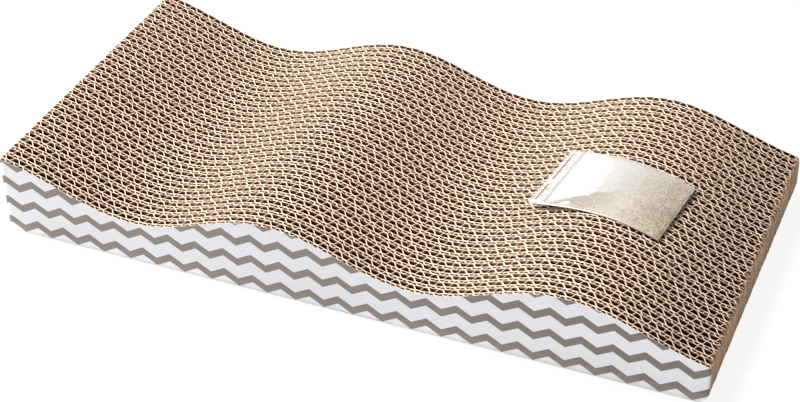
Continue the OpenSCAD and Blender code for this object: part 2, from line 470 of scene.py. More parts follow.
def board_tree():
    """A double-wall board: three liners with small flutes between the first two and large ones behind."""
    web, given, result = geometry_web("Corrugated board", {
        "Liner Thickness": "Float", "Middle Liner Thickness": "Float",
        "Small Medium Thickness": "Float", "Large Medium Thickness": "Float",
        "Small Flute Height": "Float", "Large Flute Height": "Float",
        "Small Flute Pitch": "Float", "Large Flute Pitch": "Float",
        "Small Flute Shift": "Float", "Large Flute Shift": "Float", "Flute Lean": "Float",
        "Inner Paper": "Material", "Cut Edge": "Material", "Front Paper": "Material",
        "Back Paper": "Material", **OUTLINE_INPUTS})
    wall = paper_wall_tree()
    liner = given["Liner Thickness"]
    middle = given["Middle Liner Thickness"]
    small = given["Small Flute Height"]
    large = given["Large Flute Height"]
    back = (small + large + middle) * 0.5 + liner
    liner_form = {"Columns": LINER_COLUMNS, "End Packing": END_PACKING, "Flute Height": 0.0,
                  "Flute Pitch": FLAT_PITCH, "Thickness": liner}
    small_form = {"Columns": SMALL_COLUMNS, "Flute Height": small, "Flute Pitch": given["Small Flute Pitch"],
                  "Flute Shift": given["Small Flute Shift"],
                  "Flute Lean": given["Flute Lean"] * small / large,
                  "Thickness": given["Small Medium Thickness"]}
    large_form = {"Columns": LARGE_COLUMNS, "Flute Height": large, "Flute Pitch": given["Large Flute Pitch"],
                  "Flute Shift": given["Large Flute Shift"], "Flute Lean": given["Flute Lean"],
                  "Thickness": given["Large Medium Thickness"]}
    # From the front to the back
    walls = [
        {**liner_form, "Middle Y": liner * 0.5 - back, "Front Side": FRONT_SIDE},
        {**small_form, "Middle Y": liner + small * 0.5 - back},
        {**liner_form, "Middle Y": liner + small + middle * 0.5 - back, "Thickness": middle},
        {**large_form, "Middle Y": back - liner - large * 0.5},
        {**liner_form, "Middle Y": back - liner * 0.5, "Back Side": BACK_SIDE},
    ]
    joined = web.add("GeometryNodeJoinGeometry")
    for number, form in enumerate(walls):
        node = web.add("GeometryNodeGroup", node_tree=wall)
        shared = {label: given[label] for label in OUTLINE_INPUTS}
        for label, value in {**shared, **form, "Own Seed": WALL_SEED_STEP * number}.items():
            web.feed(value, node.inputs[label])
        web.feed(node.outputs[0], joined.inputs[0])
    real = web.add("GeometryNodeRealizeInstances", {0: joined.outputs[0]})
    smooth = web.add("GeometryNodeSetShadeSmooth", {"Geometry": real.outputs[0], "Shade Smooth": True})
    angle = Field(web, web.add("GeometryNodeInputMeshEdgeAngle").outputs["Unsigned Angle"])
    crisp = web.add("GeometryNodeSetShadeSmooth", {
        "Geometry": smooth.outputs[0], "Shade Smooth": False,
        "Selection": web.math("GREATER_THAN", angle, CRISP_ANGLE)}, domain="EDGE")
    kind = web.add("GeometryNodeInputNamedAttribute", {"Name": "side"}, data_type="INT")
    side = Field(web, kind.outputs[0])
    last = crisp.outputs[0]
    finishes = ((INNER_SIDE, "Inner Paper"), (CUT_SIDE, "Cut Edge"), (FRONT_SIDE, "Front Paper"),
                (BACK_SIDE, "Back Paper"))
    for value, label in finishes:
        last = web.add("GeometryNodeSetMaterial", {
            "Geometry": last, "Selection": web.math("COMPARE", side, float(value), 0.1),
            "Material": given[label]}).outputs[0]
    web.feed(last, result.inputs[0])
    return web.tree


# Finishes

def shader_web(name, **settings):
    """A new material, its node tree and its surface shader with plain values set."""
    material = bpy.data.materials.new(name)
    material.use_nodes = True
    web = Web(material.node_tree)
    surface = material.node_tree.nodes["Principled BSDF"]
    for label, value in settings.items():
        surface.inputs[label.replace("_", " ")].default_value = value
    return material, web, surface


def mixed(web, cover, first, second):
    """A first colour, of which a share is covered by a second one."""
    node = web.add("ShaderNodeMix", {"Factor": cover}, data_type="RGBA")
    for place, value in ((6, first), (7, second)):
        if isinstance(value, bpy.types.NodeSocket):
            web.feed(value, node.inputs[place])
        else:
            node.inputs[place].default_value = (*value[:3], 1.0)
    return node.outputs[2]


def shade(value, factor):
    """A colour made darker or lighter."""
    return tuple(min(1.0, part * factor) for part in value[:3])


def speckle(web, place, size, detail=3.0, roughness=0.6, stretch=(1, 1, 1)):
    """Noise with grains of about the given size, from 0 to 1."""
    scaled = web.add("ShaderNodeMapping", {"Vector": place, "Scale": tuple(part / size for part in stretch)})
    node = web.add("ShaderNodeTexNoise", {
        "Vector": scaled.outputs[0], "Scale": 1.0, "Detail": detail, "Roughness": roughness})
    return Field(web, node.outputs["Fac"])


def raise_bump(web, surface, height, distance, strength=1.0):
    """Small relief on a surface."""
    bump = web.add("ShaderNodeBump", {"Height": height, "Distance": distance, "Strength": strength})
    web.feed(bump.outputs[0], surface.inputs["Normal"])


# Sizes of the grain in the finishes, and the depth of their relief
PATCH_L, CLOUD_L, HAZE_L, CLUMP_L, CRUMB_L = 9 * MM, 14 * MM, 5 * MM, 3.5 * MM, 1.3 * MM
FIBRE_L, GRAIN_L = 0.5 * MM, 0.6 * MM
FIBRE_DEPTH, HAZE_DEPTH, CRUMB_DEPTH = 0.05 * MM, 0.08 * MM, 0.3 * MM
HAZE_STRENGTH = 0.4
# Levels of the noise between which patches, flecks and haze come up
PATCH_SPAN, FLECK_SPAN, HAZE_SPAN = (0.3, 0.7), (0.45, 0.75), (0.35, 0.75)

# Kraft paper: its shades in dull and pale patches and in flecks, and the painted shade on slopes that face
# the lamp
DULL_SHADE, PALE_SHADE, FLECK_SHADE, PAINTED_LAMP_SIDE_SHADE = 0.86, 1.1, 0.6, 0.78
FLECK_COVER, PAINTED_LAMP_SIDE_COVER = 0.35, 0.9
# Inside a board: how much deeper the pale fuzz and the painted light reach on those slopes
PAINTED_LIGHT_FUZZ_GAIN, PAINTED_LIGHT_DEPTH_GAIN = 1.8, 0.15
# Shares of the fuzz and of the plain kraft end, where the painted shade stops, over which they give way
FUZZ_SPAN, END_SPAN = (0.3, 1.8), (0.5, 1.5)
# Share of the painted light's depth that is lost at the right end, which paints shade there, and over what
# length
SHADOW_SHARE, SHADOW_RUN = 0.45, 90 * MM


def sunny_share(web, x, wave):
    """How far the wave leans towards the lamp above at a place along it, from 0 to 1."""
    low_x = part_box(BOARDS[0])[0][0]
    turn = (x - low_x - wave.crest_inset) / wave.wave_l * math.tau
    return web.math("MAXIMUM", 0 - web.math("SINE", turn), 0.0)


def kraft_material(name, base, roughness=0.85, wave=None):
    """Fibrous paper in patches and flecks, with painted shade where a given wave faces the lamp."""
    material, web, surface = shader_web(name, Roughness=roughness, Specular_IOR_Level=0.25)
    place = web.add("ShaderNodeTexCoord").outputs["Object"]
    patch = web.smooth(speckle(web, place, PATCH_L), *PATCH_SPAN)
    fibre = speckle(web, place, FIBRE_L, stretch=(1, 1, 0.3))
    tone = mixed(web, patch, shade(base, DULL_SHADE), shade(base, PALE_SHADE))
    tone = mixed(web, web.smooth(fibre, *FLECK_SPAN) * FLECK_COVER, tone, shade(base, FLECK_SHADE))
    if wave:
        sunny = sunny_share(web, web.split(place)[0], wave)
        # Painted shade: the paper is darker where the wave faces the lamp, to tone down its light
        tone = mixed(web, sunny * PAINTED_LAMP_SIDE_COVER, tone, shade(base, PAINTED_LAMP_SIDE_SHADE))
    web.feed(tone, surface.inputs["Base Color"])
    raise_bump(web, surface, fibre, FIBRE_DEPTH)
    return material


def core_material(board, wave):
    """The papers inside a board: painted light below the cut edges that turns to painted shade with depth,
    more painted light where the wave faces the lamp, and pale fuzz, partly painted light, where the die has
    cut them.
    """
    material, web, surface = shader_web("core_paper", Roughness=0.9, Specular_IOR_Level=0.2)
    place = web.add("ShaderNodeTexCoord").outputs["Object"]
    x, _, z = web.split(place)
    low_x, high_x = (corner[0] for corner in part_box(BOARDS[0]))
    from_left, from_right = x - low_x, high_x - x
    depth = wave_top(web, from_left, from_right, wave_values(wave)) - z
    fibre = speckle(web, place, FIBRE_L)
    sunny = sunny_share(web, x, wave)
    frayed = depth + (fibre - 0.5) * board.fuzz_l
    fuzz_l = (sunny * PAINTED_LIGHT_FUZZ_GAIN + 1) * board.fuzz_l
    below = web.smooth(frayed, *(fuzz_l * part for part in FUZZ_SPAN))
    # Painted shade towards the right end: the painted light reaches less deep there
    daylit = web.smooth(from_right, 0.0, SHADOW_RUN) * SHADOW_SHARE + (1 - SHADOW_SHARE)
    daylit_l = (sunny * PAINTED_LIGHT_DEPTH_GAIN + 1) * daylit * board.daylit_l
    deep = web.smooth(depth, board.fuzz_l, daylit_l)
    # Painted light on the upper walls, lighter where the wave faces the lamp, turning to painted shade with
    # depth
    inner = mixed(web, sunny, board.painted_lit_inner_colour, board.lamp_side_painted_light_colour)
    shaded = mixed(web, deep, inner, board.deep_painted_shade_colour)
    inset = web.math("MINIMUM", from_left, from_right)
    inside = web.smooth(inset, *(board.end_l * part for part in END_SPAN))
    core = mixed(web, inside, board.wall_colour, shaded)
    # The pale fuzz is real, with painted light on it where the wave faces the lamp
    fuzz = mixed(web, sunny, board.fuzz_and_painted_light_colour, board.lamp_side_painted_light_colour)
    web.feed(mixed(web, below, fuzz, core), surface.inputs["Base Color"])
    raise_bump(web, surface, fibre, FIBRE_DEPTH)
    return material


# Print: a painted sheen on the stripes towards the left, painted light on the white towards the right, and
# painted light on both at its foot against the shade there; where these change, along the front and up from
# its foot, and how
LEFT_LIGHT_SPAN, FOOT_LIGHT_SPAN = (-60 * MM, 225 * MM), (1.5 * MM, 9.5 * MM)
RIGHT_PAPER_PAINTED_LIGHT, FOOT_PAPER_PAINTED_LIGHT = 1.05, 1.32
LEFT_INK_PAINTED_SHEEN, RIGHT_INK_PAINTED_SHADE, FOOT_INK_PAINTED_LIGHT, FOOT_INK_LIGHT_COVER = 1.12, 0.88, 1.75, 0.5
CLOUD_COLOUR, CLOUD_COVER = (0.4, 0.4, 0.4), 0.06
GRAIN_COLOUR, GRAIN_COVER = (0.05, 0.045, 0.04), 0.12
# Share of its relief that comes from the flutes behind it
STREAK_SHARE = 0.6


def print_material(design, flute_pitch):
    """The white liner with its printed zigzag stripes, painted sheen and painted light on them, and a trace
    of the small flutes behind it.
    """
    material, web, surface = shader_web("zigzag_print", Roughness=0.5, Specular_IOR_Level=0.4)
    place = web.add("ShaderNodeTexCoord").outputs["Object"]
    x, _, z = web.split(place)
    step = (x - design.first_peak_x) / design.period
    fold = web.math("ABSOLUTE", web.math("FRACT", step) - 0.5) * 4 - 1
    row = (z - design.first_row_h - fold * design.swing) / design.row_pitch
    off = web.math("ABSOLUTE", row - web.math("ROUND", row)) * design.row_pitch
    band = 1 - web.smooth(off, (design.band_h - design.bleed) / 2, (design.band_h + design.bleed) / 2)
    cloud = speckle(web, place, CLOUD_L)
    grain = speckle(web, place, GRAIN_L)
    streak = web.math("SINE", x / flute_pitch * math.tau) * 0.5 + 0.5
    # Painted sheen and painted light along the front, and painted light at the foot against the shade there
    left = 1 - web.smooth(x, *LEFT_LIGHT_SPAN)
    foot = 1 - web.smooth(z, *FOOT_LIGHT_SPAN)
    white, grey = design.paper_colour, design.stripe_colour
    paper = mixed(web, left, shade(white, RIGHT_PAPER_PAINTED_LIGHT), white)
    paper = mixed(web, foot, paper, shade(white, FOOT_PAPER_PAINTED_LIGHT))
    paper = mixed(web, cloud * CLOUD_COVER, paper, CLOUD_COLOUR)
    ink = mixed(web, left, shade(grey, RIGHT_INK_PAINTED_SHADE), shade(grey, LEFT_INK_PAINTED_SHEEN))
    ink = mixed(web, foot * FOOT_INK_LIGHT_COVER, ink, shade(grey, FOOT_INK_PAINTED_LIGHT))
    ink = mixed(web, grain * GRAIN_COVER, ink, GRAIN_COLOUR)
    web.feed(mixed(web, band, paper, ink), surface.inputs["Base Color"])
    raise_bump(web, surface, streak * STREAK_SHARE + grain * (1 - STREAK_SHARE), FIBRE_DEPTH)
    return material


# The block

# Seeds of the row of boards, and the share of it from which the flutes stray
ROW_SEED, BOARD_SEED_STEP = 7, 13.0
STRAIGHT_SHARE = 0.4
# How far the large flutes of any board are out of place
FLUTE_ERROR = 0.6 * MM


class SCRATCHER_OT_boards(Operator):
    """Make the row of corrugated boards, the printed one first"""

    bl_idname = "scratcher.boards"
    bl_label = "Boards"

    def execute(self, context):
        scene = context.scene
        wave, board, design = scene.scratcher_wave, scene.scratcher_board, scene.scratcher_print
        kraft = kraft_material("kraft_paper", board.wall_colour)
        edge = kraft_material("cut_edge", board.edge_colour, 0.95, wave)
        core = core_material(board, wave)
        printed = print_material(design, board.small_pitch)
        tree = board_tree()
        make = {
            **wave_values(wave), "Thin Share": board.thin_share,
            "Crushed Length": board.crushed_l, "Crushed Share": board.crushed_share,
            "Slip": board.slip, "Trim": board.trim,
            "Liner Thickness": board.liner_t, "Middle Liner Thickness": board.middle_liner_t,
            "Small Medium Thickness": board.small_medium_t,
            "Large Medium Thickness": board.large_medium_t,
            "Small Flute Height": board.small_h, "Large Flute Height": board.large_h,
            "Small Flute Pitch": board.small_pitch, "Large Flute Pitch": board.large_pitch,
            "Flute Lean": board.flute_lean, "Inner Paper": core, "Cut Edge": edge, "Back Paper": kraft}
        chance = random.Random(ROW_SEED)
        for index, node in enumerate(BOARDS):
            low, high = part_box(node)
            outer = index in (0, len(BOARDS) - 1)
            shift = (0.5 if index % 2 == 0 else -0.5) * board.flute_shift
            stray = board.flute_stray if index > STRAIGHT_SHARE * len(BOARDS) else 0.0
            piece = grown(node + "_papers", tree, {
                **make, "Seed": BOARD_SEED_STEP * index,
                "Board Y": (low[1] + high[1]) / 2, "Wobble": 0.0 if outer else board.wobble,
                "Length": high[0] - low[0] - chance.uniform(0, 1) * board.uneven_l,
                "Small Flute Shift": chance.uniform(0, 1) * board.small_pitch,
                "Large Flute Shift": (board.large_pitch / 4 - shift + chance.uniform(-1, 1) * FLUTE_ERROR
                                      + stray * chance.uniform(-1, 1)),
                "Front Paper": kraft if index else printed,
            })
            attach(piece, BLOCK)
            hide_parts(node)
        return {"FINISHED"}


# The bag

CREASE_SHARES = (
    # Start and end as shares of the bag's length and width, width of its length, height of its film
    ((0.14, -0.46), (0.28, -0.33), 0.016, 1.5),
    ((0.28, -0.33), (0.44, -0.26), 0.014, 1.5),
    ((0.2, -0.47), (0.29, -0.42), 0.012, 1.75),
    ((0.14, 0.47), (0.3, 0.4), 0.016, 1),
    ((0.96, -0.46), (0.84, -0.36), 0.016, 1.5),
    ((0.96, 0.45), (0.85, 0.34), 0.016, 1.5),
)
WRINKLES = (
    # Length, breadth, seed and height of the ridges that wind over the film
    (14 * MM, 9 * MM, 3.1, 0.16 * MM),
    (6 * MM, 7 * MM, 8.4, 0.07 * MM),
)
RIDGE_SHARPNESS = 4

# Gap between two layers, and the steps of their grids
FILM_GAP = 0.02 * MM
FILM_STEP, PILE_STEP, ZIP_STEP, ZIP_LONG_STEP = 0.8 * MM, 0.9 * MM, 0.15 * MM, 2 * MM
# Share of its half length, past its middle, from which the bag's free end sags
SAG_SHARE = 0.2
# Opening of the lip, and the run over which the wrinkles rise from the seams
LIP_GAPE, SEAM_RUN = 0.4 * MM, 4 * MM
# The pile is a dome, cut off by a slope up from the zip and by one up from its front edge
PULL_SLOPE, FRONT_SLOPE, FRONT_EDGE_H = 0.2, 0.28, 0.3 * MM
# Powers by which the dome falls to its front, back and far edges, and where the last fall starts
FRONT_FALL, BACK_FALL, FAR_FALL, FAR_START_SHARE = 8, 5, 2.3, -0.3
# How sharply those faces meet, and the pile's least share of its edge thickness
MEETING_SHARPNESS = 1.6 / MM
LEAST_EDGE_SHARE = 0.6


class BagForm:
    """Places on the bag: u runs from its mouth, v across from its middle, h above its underside."""

    def __init__(self, bag, wave):
        self.bag = bag
        self.wave = wave
        self.low_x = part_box(BOARDS[0])[0][0]
        self.top_h = wave.mean_h + wave.rise
        self.middle_x = self.low_x + wave.crest_inset + bag.crest * wave.wave_l + bag.from_crest
        self.zip_end = bag.lip_l + bag.zip_w
        self.herb_start = self.zip_end + bag.herb_gap
        self.herb_end = bag.bag_l - bag.seam_w
        self.herb_half_w = bag.bag_w / 2 - bag.seam_w

    def base_h(self, x):
        """Height of the bag's underside at a place along the block, before its free end sags."""
        wave = self.wave
        turn = math.tau * (x - self.low_x - wave.crest_inset) / wave.wave_l
        surface = wave.mean_h + wave.rise * math.cos(turn)
        return self.top_h + self.bag.clear - self.bag.drape_share * (self.top_h - surface)

    def point(self, u, v, h):
        """The place of a spot of the bag, as it lies on the block."""
        bag = self.bag
        drawn = bag.skew * u / bag.bag_l * (0.5 - v / bag.bag_w)
        along = u + drawn - bag.bag_l / 2
        cos, sin = math.cos(bag.turn), math.sin(bag.turn)
        x = self.middle_x + along * cos - v * sin
        y = bag.bag_y + along * sin + v * cos
        free = max(0.0, 2 * along / bag.bag_l - SAG_SHARE) / (1 - SAG_SHARE)
        return (x, y, self.base_h(x) - bag.droop * free ** 2 + h)

    def pile_h(self, u, v):
        """Height of the herb's pile: pulled flat from the zip and from its front, and domed between."""
        bag = self.bag
        a = 2 * (u - self.herb_start) / (self.herb_end - self.herb_start) - 1
        b = v / self.herb_half_w
        if abs(a) >= 1 or abs(b) >= 1:
            return 0.0
        far = max(0.0, (a - FAR_START_SHARE) / (1 - FAR_START_SHARE))
        across = 1 - abs(b) ** (FRONT_FALL if b < 0 else BACK_FALL)
        dome = bag.herb_edge_t + (bag.herb_t - bag.herb_edge_t) * (1 - far ** FAR_FALL) * across
        flat = bag.herb_edge_t + PULL_SLOPE * (u - self.herb_start)
        front = FRONT_EDGE_H + FRONT_SLOPE * (self.herb_half_w + v)
        total = sum(math.exp(-MEETING_SHARPNESS * part) for part in (dome, flat, front))
        return max(-math.log(total) / MEETING_SHARPNESS, bag.herb_edge_t * LEAST_EDGE_SHARE)

    def crease_h(self, u, v):
        """Height of the film's wrinkles over its smooth form."""
        bag = self.bag
        height = 0.0
        for run, breadth, seed, rise in WRINKLES:
            wander = noise.noise(Vector((u / run, v / breadth, seed)))
            height += rise * (1 - min(1.0, abs(wander) * RIDGE_SHARPNESS)) ** 2
        for start, end, width, rise in CREASE_SHARES:
            a, b = (Vector((along * bag.bag_l, across * bag.bag_w)) for along, across in (start, end))
            way = b - a
            passed = max(0.0, min(1.0, (Vector((u, v)) - a).dot(way) / way.length_squared))
            distance = (Vector((u, v)) - a - way * passed).length
            height += rise * bag.film_t * math.exp(-(distance / (width * bag.bag_l)) ** 2)
        return height

    def held_h(self, u, v):
        """Height to which the front film is held off the back film."""
        bag = self.bag
        if abs(v) > self.herb_half_w or u > self.herb_end:
            return 0.0
        if u >= self.herb_start:
            side = min(1.0, (self.herb_half_w - abs(v)) / SEAM_RUN, (self.herb_end - u) / SEAM_RUN)
            return self.pile_h(u, v) + side * self.crease_h(u, v)
        lift = 2 * bag.zip_t
        if u < bag.lip_l:
            return lift + LIP_GAPE * (1 - u / bag.lip_l)
        passed = max(0.0, u - self.zip_end) / bag.herb_gap
        return lift + (bag.herb_edge_t - lift) * passed


def shell_object(name, us, vs, place, low, high, material):
    """A closed shell over a grid of the bag, between two heights, with a map of its u and v."""
    columns = len(vs)
    count = len(us) * columns
    points = [place(u, v, low(u, v)) for u in us for v in vs]
    points += [place(u, v, high(u, v)) for u in us for v in vs]

    def at(i, j):
        """Number of the lower point in a row and a column."""
        return i * columns + j

    faces = []
    for i in range(len(us) - 1):
        for j in range(columns - 1):
            ring = (at(i, j), at(i + 1, j), at(i + 1, j + 1), at(i, j + 1))
            faces.append(tuple(reversed(ring)))
            faces.append(tuple(corner + count for corner in ring))
    rim = [at(i, 0) for i in range(len(us))]
    rim += [at(len(us) - 1, j) for j in range(1, columns)]
    rim += [at(i, columns - 1) for i in range(len(us) - 2, -1, -1)]
    rim += [at(0, j) for j in range(columns - 2, 0, -1)]
    for a, b in zip(rim, rim[1:] + rim[:1]):
        faces.append((a, b, b + count, a + count))
    mesh = bpy.data.meshes.new(name)
    mesh.from_pydata(points, [], faces)
    layer = mesh.uv_layers.new(name="UVMap")
    spots = [(u, v) for u in us for v in vs] * 2
    for loop in mesh.loops:
        layer.data[loop.index].uv = spots[loop.vertex_index]
    mesh.polygons.foreach_set("use_smooth", [True] * len(mesh.polygons))
    mesh.materials.append(material)
    piece = bpy.data.objects.new(name, mesh)
    bpy.context.scene.collection.objects.link(piece)
    return piece


def steps(start, end, size):
    """Even steps from start to end, of about the given size."""
    count = max(1, round((end - start) / size))
    return [start + (end - start) * i / count for i in range(count + 1)]


# Film: place of its fold across the bag, at the mouth and how much further back at the far end,
# and the borders of the hollow in front of the fold, which gets painted shade
FOLD_START_SHARE, FOLD_RISE_SHARE = -0.56, 0.72
HOLLOW_EDGE, HOLLOW_END = (-3 * MM, 0.0), (32 * MM, 54 * MM)
# Where the cloud, the lip and the far end's painted shade begin and end, from the mouth, and how they slant;
# the cloud is milky film that is partly a painted highlight where the glare lies
MILKY_GLARE_START, MILKY_GLARE_END, MILKY_GLARE_SLANT = (7 * MM, 9.5 * MM), (28 * MM, 86 * MM), 0.25
LIP_END, FAR_SHADE_START, FAR_SHADE_SLANT = (6 * MM, 8 * MM), (64 * MM, 84 * MM), 0.15
# Shares of the seam's width over which its colour ends, and how the painted shade at the far end breaks up
# in flecks
SEAM_SPAN, EVEN_FAR_SHADE_SHARE, FAR_SHADE_SPAN = (0.6, 1.2), 0.35, (0.35, 0.65)
# How opaque the film is, and what each of these adds
CLEAR_ALPHA, HAZE_ALPHA, MILKY_GLARE_ALPHA, SEAM_ALPHA = 0.05, 0.04, 0.43, 0.3
LIP_ALPHA, FAR_SHADE_ALPHA, GLOW_ALPHA, LINE_ALPHA = 0.07, 0.16, 0.3, 0.95
HOLLOW_CLEARING, SEAM_COVER, FAR_SHADE_COVER, GLOW_COVER = 0.5, 0.85, 0.85, 0.3
# The coloured line: its border, its gap, where it fades, and the glow on its inner side
LINE_EDGE, LINE_FADE, LINE_FADE_SHARE = (0.4 * MM, 0.75 * MM), (16 * MM, 30 * MM), 0.85
GAP_V, GAP_EDGE, GAP_SHARE = -8 * MM, (2 * MM, 3.5 * MM), 0.8
GLOW_SHIFT, GLOW_EDGE = 0.9 * MM, (1.5 * MM, 4 * MM)


def film_material(name, bag, printed):
    """Clear glossy film, a little milky, with a milky patch that is partly a painted highlight, painted
    shade in front of its fold and at its far end, and the coloured line along its mouth if it is printed.
    """
    material, web, surface = shader_web(name, Roughness=0.19, IOR=1.5, Specular_IOR_Level=0.6)
    spot = web.add("ShaderNodeUVMap", uv_map="UVMap").outputs[0]
    u, v, _ = web.split(spot)
    haze = speckle(web, spot, HAZE_L, stretch=(1, 0.5, 1))
    fold_v = bag.bag_w * (FOLD_START_SHARE + FOLD_RISE_SHARE / bag.bag_l * u)
    hollow = (1 - web.smooth(v - fold_v, *HOLLOW_EDGE)) * (1 - web.smooth(u, *HOLLOW_END))
    # Milky film that is partly a painted highlight where the glare lies, cleared in part over the hollow
    milky_glare = (1 - web.smooth(u - v * MILKY_GLARE_SLANT, *MILKY_GLARE_END)) * web.smooth(u, *MILKY_GLARE_START)
    milky_glare = milky_glare * (1 - hollow * HOLLOW_CLEARING)
    side = bag.bag_w / 2 - web.math("ABSOLUTE", v)
    inset = web.math("MINIMUM", side, bag.bag_l - u)
    seam = 1 - web.smooth(inset, *(bag.seam_w * part for part in SEAM_SPAN))
    lip = 1 - web.smooth(u, *LIP_END)
    # Painted shade towards the far end, where the film curves away from the light, broken up in flecks
    flecked = EVEN_FAR_SHADE_SHARE + (1 - EVEN_FAR_SHADE_SHARE) * web.smooth(haze, *FAR_SHADE_SPAN)
    far_shade = web.smooth(u - v * FAR_SHADE_SLANT, *FAR_SHADE_START) * flecked
    alpha = (CLEAR_ALPHA + HAZE_ALPHA * web.smooth(haze, *HAZE_SPAN) + MILKY_GLARE_ALPHA * milky_glare
             + SEAM_ALPHA * seam + LIP_ALPHA * lip + FAR_SHADE_ALPHA * far_shade)
    # Painted shade on the film in front of its fold
    tone = mixed(web, hollow, bag.film_colour, bag.hollow_painted_shade_colour)
    tone = mixed(web, seam * SEAM_COVER, tone, bag.seam_colour)
    tone = mixed(web, far_shade * FAR_SHADE_COVER, tone, bag.far_end_painted_shade_colour)
    if printed:
        line = 1 - web.smooth(web.math("ABSOLUTE", u - bag.line_u), *LINE_EDGE)
        gap = 1 - web.smooth(web.math("ABSOLUTE", v - GAP_V), *GAP_EDGE)
        fade = (1 - web.smooth(v, *LINE_FADE) * LINE_FADE_SHARE) * (1 - gap * GAP_SHARE)
        line = line * fade
        beside = web.math("ABSOLUTE", u - (bag.line_u + GLOW_SHIFT))
        glow = (1 - web.smooth(beside, *GLOW_EDGE)) * GLOW_COVER
        tone = mixed(web, glow, tone, bag.line_glow_colour)
        tone = mixed(web, line, tone, bag.line_colour)
        alpha = web.math("MAXIMUM", alpha + glow * GLOW_ALPHA, line * LINE_ALPHA)
    web.feed(tone, surface.inputs["Base Color"])
    web.feed(alpha, surface.inputs["Alpha"])
    raise_bump(web, surface, haze, HAZE_DEPTH, HAZE_STRENGTH)
    return material


class SCRATCHER_OT_films(Operator):
    """Make the two film walls of the bag"""

    bl_idname = "scratcher.films"
    bl_label = "Bag films"

    def execute(self, context):
        bag = context.scene.scratcher_bag
        form = BagForm(bag, context.scene.scratcher_wave)
        us = steps(0, bag.bag_l, FILM_STEP)
        vs = steps(-bag.bag_w / 2, bag.bag_w / 2, FILM_STEP)
        back = shell_object(
            "bag_back_wall", us, vs, form.point,
            lambda u, v: 0.0, lambda u, v: bag.film_t, film_material("back_film", bag, False))
        front = shell_object(
            "bag_front_wall", us, vs, form.point,
            lambda u, v: bag.film_t + FILM_GAP + form.held_h(u, v),
            lambda u, v: 2 * bag.film_t + FILM_GAP + form.held_h(u, v),
            film_material("front_film", bag, True))
        for piece, node in ((back, "bag_back_film"), (front, "bag_front_film")):
            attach(piece, BAG)
            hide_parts(node)
        return {"FINISHED"}


# Lowest height of the zip's ridges and how far they rise from it, as shares of one half
ZIP_LOW_SHARE, ZIP_RISE_SHARE = 0.35, 0.6


def zip_material(bag):
    """The milky plastic of the press-to-close profile."""
    material, web, surface = shader_web("zip_plastic", Roughness=0.25, IOR=1.5, Alpha=0.4)
    place = web.add("ShaderNodeTexCoord").outputs["Object"]
    cloud = speckle(web, place, bag.zip_w)
    web.feed(mixed(web, cloud, bag.zip_colour, bag.pale_zip_colour), surface.inputs["Base Color"])
    raise_bump(web, surface, cloud, FIBRE_DEPTH)
    return material


class SCRATCHER_OT_zip(Operator):
    """Make the groove and the rib of the bag's zip"""

    bl_idname = "scratcher.zip"
    bl_label = "Bag zip"

    def execute(self, context):
        bag = context.scene.scratcher_bag
        form = BagForm(bag, context.scene.scratcher_wave)
        us = steps(bag.lip_l, form.zip_end, ZIP_STEP)
        vs = steps(-form.herb_half_w, form.herb_half_w, ZIP_LONG_STEP)
        material = zip_material(bag)

        def profile(u):
            """Two ridges with a groove between them, as a share of the height of one half."""
            turn = (u - bag.lip_l) / bag.zip_w * math.tau
            return ZIP_LOW_SHARE + ZIP_RISE_SHARE * math.sin(turn) ** 2

        groove = shell_object(
            "zip_groove_strip", us, vs, form.point, lambda u, v: bag.film_t,
            lambda u, v: bag.film_t + bag.zip_t * profile(u), material)
        rib = shell_object(
            "zip_rib_strip", us, vs, form.point,
            lambda u, v: bag.film_t + bag.zip_t * (2 - profile(u)),
            lambda u, v: bag.film_t + 2 * bag.zip_t, material)
        for piece, node in ((groove, "zip_groove"), (rib, "zip_rib")):
            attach(piece, BAG)
            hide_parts(node)
        return {"FINISHED"}


# Herb: its shades in dull and pale patches and in clumps, and what clumps, crumbs and dust cover
DULL_HERB_SHADE, PALE_HERB_SHADE, CLUMP_SHADE = 0.93, 1.24, 0.62
CLUMP_COVER, CRUMB_COVER, FINE_COVER = 0.4, 0.7, 0.5
# Levels of the noise between which they come up
CLUMP_SPAN, CRUMB_SPAN, FINE_SPAN = (0.48, 0.66), (0.5, 0.62), (0.55, 0.75)
# The pile under its crumbs: how deep it is buried, its least thickness, and its lumps
CRUMBS_T, LEAST_PILE_T, LUMP_L, LUMP_H, LUMP_SEED = 0.6 * MM, 0.1 * MM, 2.2 * MM, 0.2 * MM, 5.0
# A crumb's least size, its breadth and thickness against its length, and its tilt
LEAST_CRUMB_SHARE, CRUMB_BREADTH_SHARE, CRUMB_FLAT_SHARE, CRUMB_TILT = 0.4, 0.6, 0.3, 0.3
CRUMB_SEED, SIZE_SEED, TURN_SEED = 4, 3, 5


def herb_material(bag):
    """Crumbled dried leaf: sandy olive with dark and pale crumbs."""
    material, web, surface = shader_web("dried_leaf", Roughness=0.9, Specular_IOR_Level=0.2)
    place = web.add("ShaderNodeTexCoord").outputs["Object"]
    leaf = bag.herb_colour
    patch = web.smooth(speckle(web, place, PATCH_L), *PATCH_SPAN)
    crumb = speckle(web, place, CRUMB_L, detail=2.0, roughness=0.7)
    dust = speckle(web, place, FIBRE_L)
    clump = web.smooth(speckle(web, place, CLUMP_L), *CLUMP_SPAN)
    tone = mixed(web, patch, shade(leaf, DULL_HERB_SHADE), shade(leaf, PALE_HERB_SHADE))
    tone = mixed(web, clump * CLUMP_COVER, tone, shade(leaf, CLUMP_SHADE))
    tone = mixed(web, web.smooth(crumb, *CRUMB_SPAN) * CRUMB_COVER, tone, bag.dark_herb_colour)
    tone = mixed(web, web.smooth(dust, *FINE_SPAN) * FINE_COVER, tone, bag.dust_colour)
    web.feed(tone, surface.inputs["Base Color"])
    raise_bump(web, surface, crumb + dust * 0.5, CRUMB_DEPTH)
    return material


